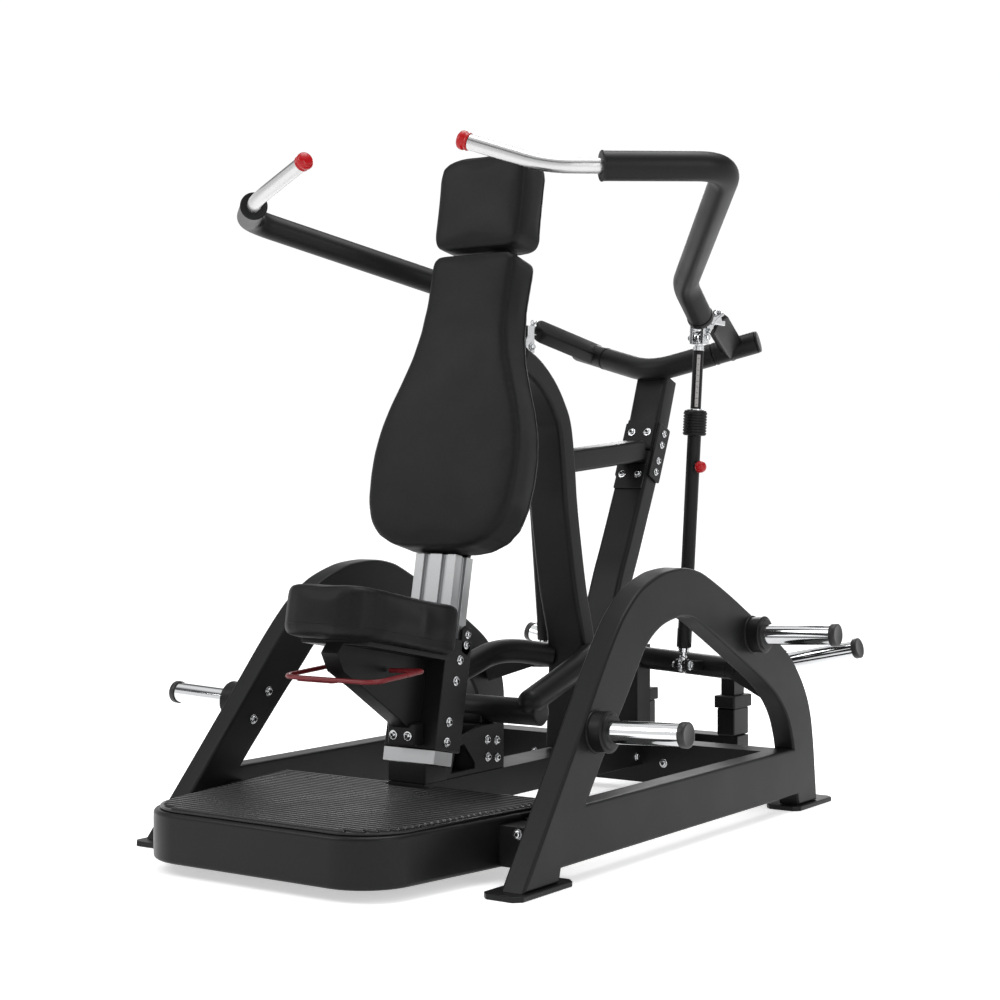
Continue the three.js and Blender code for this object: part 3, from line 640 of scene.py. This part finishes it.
# bright strap from the block on the sleeve down to the rod pin, with its bolt
strap = fillet([YOKE + V(4, -4, 16), YOKE + V(2, -44, -2), V(290, 532, 1243)], [18], 8)
sweep(g, strap, rrect(30, 9, 3), 1, hint=(1, 0, 0), edge=1.5)
sweep(g, [YOKE + V(0, 10, -4), ARM_END + V(0, 14, -2)], rrect(30, 22, 4), 1, hint=(1, 0, 0), edge=1.5)
nut(g, YOKE + V(4, -8, 20), V(0.3, -0.62, 0.72), 8, 1)
pair(g, "arm_tube", [COAT, STEEL], "arm", ["pull_arm"], "frame_coat")
# domed plug over the arm's lower end
g = Geo()
ad = (ARM_END - ARM_BEND).normalized()
lathe(g, ARM_END - ad * 12, ad, [(0, 33.4), (0.5, 34.8), (8, 35.2), (15, 34), (20, 30), (23.5, 23), (25.4, 12), (25.8, 0)], 40)
pair(g, "arm_end_plug", [PLASTIC], "arm", [], None)
# rim at the handle end of the arm
g = Geo()
d = (JOINT - ARM_OUTER).normalized()
lathe(g, JOINT - d * 4, d, [(0, 33.2), (0.6, 34.2), (3.0, 34.4), (4.4, 33.2), (5.2, 30), (5.3, 18)], 40)
pair(g, "arm_end_rim", [COAT], "arm", [], None)

# ---- handles ------------------------------------------------------------------------------
h0 = JOINT + d * 0.4
kink = JOINT + d * 118
tip = V(243, -472, 1594)
td = (tip - kink).normalized()
g = Geo()
sweep(g, fillet([h0, kink, tip], [55], 16), circle(17.5, 36), edge=1)
pair(g, "handle_bar", [SATIN], "arm", ["handle"], "handle_satin")
g = Geo()
lathe(g, tip, td, [(0.4, 17.8), (0.8, 19.6), (2.0, 20.2), (4.5, 20.0), (6.6, 18.8), (8.4, 18.9), (10.6, 20.6), (13.4, 21.5), (19, 21.3), (23, 19.6), (25.8, 16.2), (27.4, 11.4), (27.9, 6), (28, 0)], 40)
pair(g, "handle_end_cap", [RED], "arm", ["handle_cap"], "red_knob")

# ---- rods -----------------------------------------------------------------------------------
d = (ROD_LOW - ROD_TOP).normalized()
L = (ROD_LOW - ROD_TOP).length
xw = V(1, 0, 0)


def rod_end(g, c, toward, mat=0, out_r=18.5, stem=34.0):
    """Spherical bearing eye with its shank and lock nut."""
    u, v, w = basis(xw)
    in_r = 8.6
    prof = [(-6.5, in_r + 1.5), (-6.5, out_r - 2), (-5, out_r - 0.4), (0, out_r), (5, out_r - 0.4), (6.5, out_r - 2), (6.5, in_r + 1.5), (5, in_r + 0.2), (-5, in_r + 0.2)]
    n = 32
    verts = [c + xw * t + u * 0 + (v * math.cos(2 * math.pi * i / n) + u * math.sin(2 * math.pi * i / n)) * r for t, r in prof for i in range(n)]
    m = len(prof)
    faces = [(j * n + i, j * n + (i + 1) % n, ((j + 1) % m) * n + (i + 1) % n, ((j + 1) % m) * n + i) for j in range(m) for i in range(n)]
    g.add(verts, faces, mat)
    lathe(g, c + toward * 13, toward, [(0, 9.4), (6, 10.4), (12, 9.4), (13, 8.4), (stem - 13, 8.4)], 24, mat)
    lathe(g, c + toward * (stem - 12.4), toward, [(0, 13.2), (1, 14.8), (4, 14.8), (4.4, 13.6), (7, 13.6), (7.4, 15), (11.4, 15), (12.4, 13.6)], 24, mat)


g = Geo()
rod_end(g, ROD_TOP, d)
pair(g, "rod_eye_top", [STEEL], "rod", ["rod_end_top"], "bright_steel")
g = Geo()
rod_end(g, ROD_LOW, -d, out_r=21.0, stem=47.6)
pair(g, "rod_eye_low", [STEEL], "rod", ["rod_end_low"], "bright_steel")
g = Geo()
bar(g, ROD_TOP + d * 34, ROD_TOP + d * 192, 14, 1.2, 32, 0)
pair(g, "rod_slide", [COAT], "rod", ["rod_inner"], "frame_coat")
# light scale strip down the inner rod, with graduation marks
g = Geo()
look = V(0.566, -0.824, 0)
u = (look - d * look.dot(d)).normalized()
w = d.cross(u)
for k0, k1, wd, mt in ((44, 182, 4.6, 0),):
    pts = []
    nn = 6
    rr = 14.25
    verts = []
    for t in (k0, k1):
        for i in range(-nn, nn + 1):
            a_ = i / nn * wd / rr
            verts.append(ROD_TOP + d * t + (u * math.cos(a_) + w * math.sin(a_)) * rr)
        for i in range(nn, -nn - 1, -1):
            a_ = i / nn * wd / rr
            verts.append(ROD_TOP + d * t + (u * math.cos(a_) + w * math.sin(a_)) * (rr - 0.9))
    k = 2 * (2 * nn + 1)
    faces = [(i, (i + 1) % k, k + (i + 1) % k, k + i) for i in range(k)] + [tuple(reversed(range(k))), tuple(range(k, 2 * k))]
    g.add(verts, faces, mt)
for i in range(9):
    t = 54 + i * 15
    verts = []
    for tt in (t, t + 1.2):
        for a_ in (-0.16, 0, 0.16):
            verts.append(ROD_TOP + d * tt + (u * math.cos(a_) + w * math.sin(a_)) * 14.55)
        for a_ in (0.16, 0, -0.16):
            verts.append(ROD_TOP + d * tt + (u * math.cos(a_) + w * math.sin(a_)) * 14.1)
    g.add(verts, [(j, (j + 1) % 6, 6 + (j + 1) % 6, 6 + j) for j in range(6)] + [(5, 4, 3, 2, 1, 0), (6, 7, 8, 9, 10, 11)], 1)
pair(g, "rod_scale_strip", [STRIP, DARK_STEEL_AND_SHADE], "rod", [], None)
# ribbed collar
g = Geo()
prof = [(190.6, 17), (191, 26), (192.5, 28.5), (196, 30)]
t = 197.5
while t < 252:
    prof += [(t, 31), (t + 4.6, 31), (t + 5.4, 28.6), (t + 6.6, 28.6)]
    t += 7.4
prof += [(252.5, 30), (256, 29.5), (257.6, 27), (258, 18)]
lathe(g, ROD_TOP, d, prof, 40, 0)
pair(g, "rod_grip_collar", [PLASTIC], "rod", ["rod_collar"], "black_plastic")
g = Geo()
lathe(g, ROD_TOP, d, [(186.0, 14.2), (186.3, 21), (187.4, 22.6), (190, 22.8), (190.6, 22)], 36, 0)
pair(g, "rod_collar_ring", [STEEL], "rod", [], None)
g = Geo()
lathe(g, ROD_TOP, d, [(256, 16.8), (256.6, 18), (L - 99, 18), (L - 98, 19.4), (L - 96, 19.5), (L - 50, 19.5), (L - 48.4, 18.4), (L - 48, 9.5)], 40, 0)
pair(g, "rod_sleeve", [COAT], "rod", ["rod_outer"], "frame_coat")
outd = V(0.88, -0.48, 0).normalized()
kp = ROD_TOP + d * 341
g = Geo()
lathe(g, kp + outd * 18.5, outd, [(0, 5), (4, 5), (4.4, 6.4), (7.4, 6.4), (8.2, 8.2), (9.4, 11)], 24, 1)
lathe(g, kp + outd * 26.5, outd, [(0, 6.5), (0.8, 10.2), (3, 13.2), (6, 15.2), (9.5, 16), (13.5, 15.6), (18, 14.0), (21.6, 11.0), (24.2, 7), (25.4, 3), (25.6, 0)], 32, 0)
pair(g, "pin_knob", [RED, STEEL], "pin", ["pull_pin"], "red_knob")
# boss on the sleeve that carries the pin
g = Geo()
lathe(g, kp + outd * 14, outd, [(0, 12), (3.4, 12), (4.2, 11), (4.3, 5.4)], 28, 0)
pair(g, "pin_boss", [COAT], "rod", [], None)

# ---- bolts at both rod ends, on the arm's clevis and the lever's lugs
g = Geo()
bar(g, ROD_TOP + xw * -27, ROD_TOP + xw * 27, 6, 0.6, 20, 0)
nut(g, ROD_TOP + xw * 20, xw, 8.5, 0)
nut(g, ROD_TOP - xw * 20, -xw, 8.5, 0)
pair(g, "clevis_bolt", [STEEL], "arm", [], None)
g = Geo()
nut(g, V(237.6, 543, 362), xw, 9.5, 0)
nut(g, V(198.4, 543, 362), -xw, 9.5, 0)
pair(g, "lug_bolt", [STEEL], "lever", [], None)

# ---- release loop -------------------------------------------------------------------------
g = Geo()
sweep(g, fillet([V(-30, -484, 420), V(-130, -484, 424), V(-132, -668, 413), V(132, -668, 413), V(130, -484, 424), V(30, -484, 420)], [24, 40, 40, 24], 12), circle(5.5, 16), edge=1)
slab(g, [rrect(104, 30, 8, 4)], 3, 1.0, lambda a, b, c: V(-40 + a, -654 + b * 0.8, 405.5 + c - b * 0.02), 0, 2)
for x in (-80, 0):
    lathe(g, V(x, -664, 406), V(0, 0, 1), [(0, 3), (5, 3)], 12, 0)
g.build("release_bar", [REDSTEEL], "release", ["release_loop"], "release_red")

# ---- box sections, brackets and plates kept from the CAD ------------------------------------
DRESS = {
    "base_spine": (COAT, 6, 3), "lever_shaft": (COAT, 3, 2), "weight_lever_R": (COAT, 3, 2), "weight_lever_L": (COAT, 3, 2),
    "bumper_post_R": (COAT, 5, 3), "bumper_post_L": (COAT, 5, 3), "bumper_cap_R": (RUBBER, 6, 3), "bumper_cap_L": (RUBBER, 6, 3),
    "back_bracket": (COAT, 2, 2), "seat_bracket": (COAT, 2.5, 2), "seat_carriage": (COAT, 4, 3), "arm_clevis_R": (STEEL, 1.2, 2),
    "arm_clevis_L": (STEEL, 1.2, 2), "foot_front_R": (COAT, 2.5, 2), "foot_front_L": (COAT, 2.5, 2), "foot_rear_R": (COAT, 2.5, 2),
    "foot_rear_L": (COAT, 2.5, 2), "gusset_plates": (COAT, 1.6, 2), "column_foot": (COAT, 4, 2), "column_shoe": (ALU, 1.6, 2),
    "column": (ALU, 1.0, 2),
}
for n, (m, w, seg) in DRESS.items():
    o = N[n]
    o.data.materials.clear()
    o.data.materials.append(m)
    for p in o.data.polygons:
        p.use_smooth = True
    k = o.modifiers.new("weld", "WELD")
    k.merge_threshold = 0.0001
    k = o.modifiers.new("bevel", "BEVEL")
    k.width = w * 0.001
    k.segments = seg
    k.limit_method = "ANGLE"
    k.angle_limit = math.radians(33)
    k.harden_normals = True
    k.use_clamp_overlap = True
    o.modifiers.new("wn", "WEIGHTED_NORMAL").keep_sharp = True

# ---- hardware --------------------------------------------------------------------------------
for s in (1, -1):
    for y, z in ((-128, 226), (-88, 220), (-126, 184), (-86, 178)):
        bolt(hw, V(s * 50.2, y, z), V(s, 0, 0), 8)
    for y, z in ((-348, 331), (-399, 267)):
        x = frame_outer(z) - 58
        bolt(hw, V(s * (x + 0.4), y, z), V(-s, 0, -LEAN), 9)
    bolt(hw, V(s * 431, -560.2, 103), V(0, -1, 0), 8.5)
    bolt(hw, V(s * 52.2, 582, 100), V(s, 0, 0), 8)
    bolt(hw, V(s * 300, 611.8, 84), V(0, -1, 0), 8.5)
    bolt(hw, V(s * 120, 611.8, 84), V(0, -1, 0), 8.5)
# second slot: painted shade in the bolt recesses
hw.build("frame_bolts", [STEEL, DARK_STEEL_AND_SHADE], "base")

hs = Geo()
pl = Geo()
for s in (1, -1):
    for y, z in ((-274.5, 430), (-290.4, 382), (-318, 289), (-327, 243)):
        bolt(hs, V(s * 74.2, y, z), V(s, 0, 0), 8)
    ear = [(-268, 448), (-262, 500), (-246, 508), (-226, 500), (-232, 448), (-244, 436)]
    slab(pl, [ear], 8, 1.5, lambda a, b, c, s=s: V(s * (70 + c), a, b), 0, 2)
    bolt(hs, V(s * 74.2, -243, 487), V(s, 0, 0), 6.5)
    bolt(hs, V(s * 74.2, -250, 463), V(s, 0, 0), 6.5)
    bolt(hs, V(s * 21, -404.2, 262), V(0, -1, 0), 8)
box(pl, -38, 38, -404, -366, 240, 290, 4)
# second slot: painted shade in the bolt recesses
hs.build("carriage_bolts", [STEEL, DARK_STEEL_AND_SHADE], "seat")
pl.build("carriage_plates", [COAT], "seat", weighted=True)


# ---- pads --------------------------------------------------------------------------------------
def cushion(name, node, body, voxel, cap, pressure):
    src = N[node]
    me = src.data.copy()
    me.name = name
    o = bpy.data.objects.new(name, me)
    bpy.context.scene.collection.objects.link(o)
    bm = bmesh.new()
    bm.from_mesh(me)
    bmesh.ops.remove_doubles(bm, verts=bm.verts, dist=0.0002)
    bm.normal_update()
    for v in bm.verts:
        v.co -= v.normal * 0.0008
    bm.to_mesh(me)
    bm.free()
    for m in ("REMESH", "SMOOTH"):
        k = o.modifiers.new("m", m)
        if m == "REMESH":
            k.mode = "VOXEL"
            k.voxel_size = voxel
        else:
            k.factor = 0.5
            k.iterations = 3
    bake(o)
    rest = [v.co.copy() for v in o.data.vertices]
    k = o.modifiers.new("cloth", "CLOTH")
    st = k.settings
    st.quality = 4
    st.mass = 0.35
    st.tension_stiffness = st.compression_stiffness = 30
    st.shear_stiffness = 20
    st.bending_stiffness = 4
    st.use_pressure = True
    st.uniform_pressure_force = pressure
    st.effector_weights.gravity = 0
    k.collision_settings.use_collision = False
    k.point_cache.frame_start = 1
    k.point_cache.frame_end = 20
    for f in range(1, 21):
        bpy.context.scene.frame_set(f)
    bake(o)
    bpy.context.scene.frame_set(1)
    move = []
    for v, r in zip(o.data.vertices, rest):
        dlt = v.co - r
        if dlt.length > cap:
            dlt = dlt * (cap / dlt.length)
        move.append(dlt)
    near = [[] for _ in rest]
    for e in o.data.edges:
        i, j = e.vertices
        near[i].append(j)
        near[j].append(i)
    for _ in range(14):
        move = [(m + sum((move[j] for j in q), Vector()) / len(q)) * 0.5 if q else m for m, q in zip(move, near)]
    for v, r, m in zip(o.data.vertices, rest, move):
        v.co = r + m
    for p in o.data.polygons:
        p.use_smooth = True
    k = o.modifiers.new("smooth", "SMOOTH")
    k.factor = 0.5
    k.iterations = 2
    bake(o)
    k = o.modifiers.new("sub", "SUBSURF")
    k.levels = k.render_levels = 1
    o.data.materials.clear()
    o.data.materials.append(VINYL)
    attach(o, body)
    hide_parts(node)
    return o


def bake(o):
    bpy.context.view_layer.update()
    dg = bpy.context.evaluated_depsgraph_get()
    me = bpy.data.meshes.new_from_object(o.evaluated_get(dg))
    old = o.data
    o.modifiers.clear()
    o.data = me
    bpy.data.meshes.remove(old)


def seam(pad, name, loop, body, r=1.3, sink=0.2):
    """A welt that follows a closed loop of points (mm), laid on the pad's surface."""
    tree = BVHTree.FromObject(pad, bpy.context.evaluated_depsgraph_get())
    pts = []
    for p in loop:
        q, n, i, dist = tree.find_nearest(R(p))
        if q is None:
            continue
        q = q + n * (sink * 0.001)
        q = Vector((q.x * 1000, q.y * 1000 - SHIFT_Y, q.z * 1000))
        if not pts or (q - pts[-1]).length > 4:
            pts.append(q)
    for _ in range(3):
        pts = [(pts[i - 1] + pts[i] * 2 + pts[(i + 1) % len(pts)]) / 4 for i in range(len(pts))]
    g = Geo()
    sweep(g, pts, circle(r, 10), closed=True)
    return g.build(name, [VINYL], body)


def pad_frame(lean, y, z):
    s, c = math.sin(lean), math.cos(lean)
    return lambda x, up, back: V(x, y + up * s + back * c, z + up * c - back * s)


def loop_of(half, n=8):
    pts = list(half) + [(-x, h) for x, h in reversed(half)]
    out = []
    for i, p in enumerate(pts):
        q = pts[(i + 1) % len(pts)]
        k = max(1, int(math.hypot(q[0] - p[0], q[1] - p[1]) / n))
        out += [(p[0] + (q[0] - p[0]) * j / k, p[1] + (q[1] - p[1]) * j / k) for j in range(k)]
    return out


back_half = [(88, 0), (125, 8), (165, 28), (194, 62), (210, 110), (217, 170), (217, 235), (208, 295), (191, 352), (166, 415), (144, 475), (130, 540), (124, 610), (124, 712), (119, 731), (104, 741)]
head_half = [(98, 0), (120, 8), (129, 28), (129, 192), (123, 215), (104, 229), (65, 238)]
back = cushion("back_cushion", "back_pad", "base", 0.0065, 0.0035, 4.0)
head = cushion("head_cushion", "head_pad", "base", 0.0055, 0.0028, 4.0)
seat = cushion("seat_cushion", "seat_pad", "seat", 0.0055, 0.0040, 4.0)
pf = pad_frame(math.atan(0.253), -299, 692)
seam(back, "back_welt_rear", [pf(x, h, 88) for x, h in loop_of(back_half)], "base")
seam(back, "back_welt_front", [pf(x * 0.985, 3 + h * 0.99, 5) for x, h in loop_of(back_half)], "base", 0.9, 0.0)
pf = pad_frame(math.atan(0.165), -113, 1418)
seam(head, "head_welt_rear", [pf(x, h, 88) for x, h in loop_of(head_half)], "base")
seam(head, "head_welt_front", [pf(x * 0.98, 2 + h * 0.98, 5) for x, h in loop_of(head_half)], "base", 0.9, 0.0)
seat_m = Matrix.Translation((0, -495, 468)) @ Matrix.Rotation(-math.atan(0.18), 4, "X")
seat_half = [(58, -226), (88, -219), (110, -202), (123, -176), (127, -140), (126, -90), (120, 20), (121, 90), (126, 132), (114, 152), (92, 160)]
seat_pts = seat_half + [(-x, y) for x, y in reversed(seat_half)]
dense = []
for i, p in enumerate(seat_pts):
    q = seat_pts[(i + 1) % len(seat_pts)]
    k = max(1, int(math.hypot(q[0] - p[0], q[1] - p[1]) / 8))
    dense += [(p[0] + (q[0] - p[0]) * j / k, p[1] + (q[1] - p[1]) * j / k) for j in range(k)]
seam(seat, "seat_welt_low", [seat_m @ V(x, y, 6.4 + 24) for x, y in dense], "seat")
seam(seat, "seat_welt_top", [seat_m @ V(x * 0.93, y * 0.95, 6.4 + 106) for x, y in dense], "seat", 0.9, 0.0)

# ---- stage --------------------------------------------------------------------------------------
me = bpy.data.meshes.new("floor")
s = 60
me.from_pydata([(-s, -s, 0), (s, -s, 0), (s, s, 0), (-s, s, 0)], [], [(0, 1, 2, 3)])
floor = bpy.data.objects.new("floor", me)
bpy.context.scene.collection.objects.link(floor)
floor.location.z = -0.0005
fm = bpy.data.materials.new("floor_pale")
fm.use_nodes = True
fm.node_tree.nodes["Principled BSDF"].inputs["Base Color"].default_value = (0.93, 0.93, 0.93, 1)
fm.node_tree.nodes["Principled BSDF"].inputs["Emission Color"].default_value = (1, 1, 1, 1)
fm.node_tree.nodes["Principled BSDF"].inputs["Emission Strength"].default_value = 0.50
fm.node_tree.nodes["Principled BSDF"].inputs["Roughness"].default_value = 0.8
fm.node_tree.nodes["Principled BSDF"].inputs["Specular IOR Level"].default_value = 0.1
me.materials.append(fm)

world = bpy.data.worlds.new("studio")
bpy.context.scene.world = world
world.use_nodes = True
bg = world.node_tree.nodes["Background"]
bg.inputs["Color"].default_value = (1, 1, 1, 1)
bg.inputs["Strength"].default_value = 1.02
wt = world.node_tree
wc = wt.nodes.new("ShaderNodeTexCoord")
ws = wt.nodes.new("ShaderNodeSeparateXYZ")
wr = wt.nodes.new("ShaderNodeValToRGB")
wt.links.new(wc.outputs["Generated"], ws.inputs["Vector"])
wt.links.new(ws.outputs["Z"], wr.inputs["Fac"])
wt.links.new(wr.outputs["Color"], bg.inputs["Color"])
ramp = wr.color_ramp
ramp.elements[0].position, ramp.elements[0].color = 0.36, (1, 1, 1, 1)
ramp.elements[1].position, ramp.elements[1].color = 0.44, (0.10, 0.10, 0.10, 1)
for at, c in ((0.62, 0.10), (0.74, 1.0)):
    ramp.elements.new(at).color = (c, c, c, 1)


def softbox(name, at, to, w, h, power):
    li = bpy.data.lights.new(name, "AREA")
    li.shape = "RECTANGLE"
    li.size, li.size_y = w, h
    li.energy = power
    o = bpy.data.objects.new(name, li)
    bpy.context.scene.collection.objects.link(o)
    o.location = at
    o.rotation_euler = (Vector(to) - Vector(at)).to_track_quat("-Z", "Y").to_euler()
    return o


softbox("key", (-2.6, -3.4, 3.6), (0, 0, 0.8), 2.2, 2.2, 70)
softbox("fill", (4.2, -1.6, 2.4), (0, 0, 0.8), 1.2, 2.6, 40)
softbox("top", (0.2, 0.4, 4.6), (0, 0, 0.8), 2.6, 2.6, 90)
softbox("rim", (-1.5, 4.0, 2.6), (0, 0, 1.0), 2.0, 1.6, 50)

cam = bpy.data.cameras.new("camera")
cam.lens = 66.6
cam.sensor_width = 36
cam.sensor_fit = "HORIZONTAL"
cam.shift_y = -0.010
cam.clip_start, cam.clip_end = 0.1, 200
co = bpy.data.objects.new("camera", cam)
bpy.context.scene.collection.objects.link(co)
co.location = (2.6055, -3.7910 + SHIFT_Y * 0.001, 0.828)
co.rotation_euler = (math.radians(90), 0, math.radians(34.5))
bpy.context.scene.camera = co
bpy.context.scene.view_settings.view_transform = "Standard"
bpy.context.scene.view_settings.look = "None"
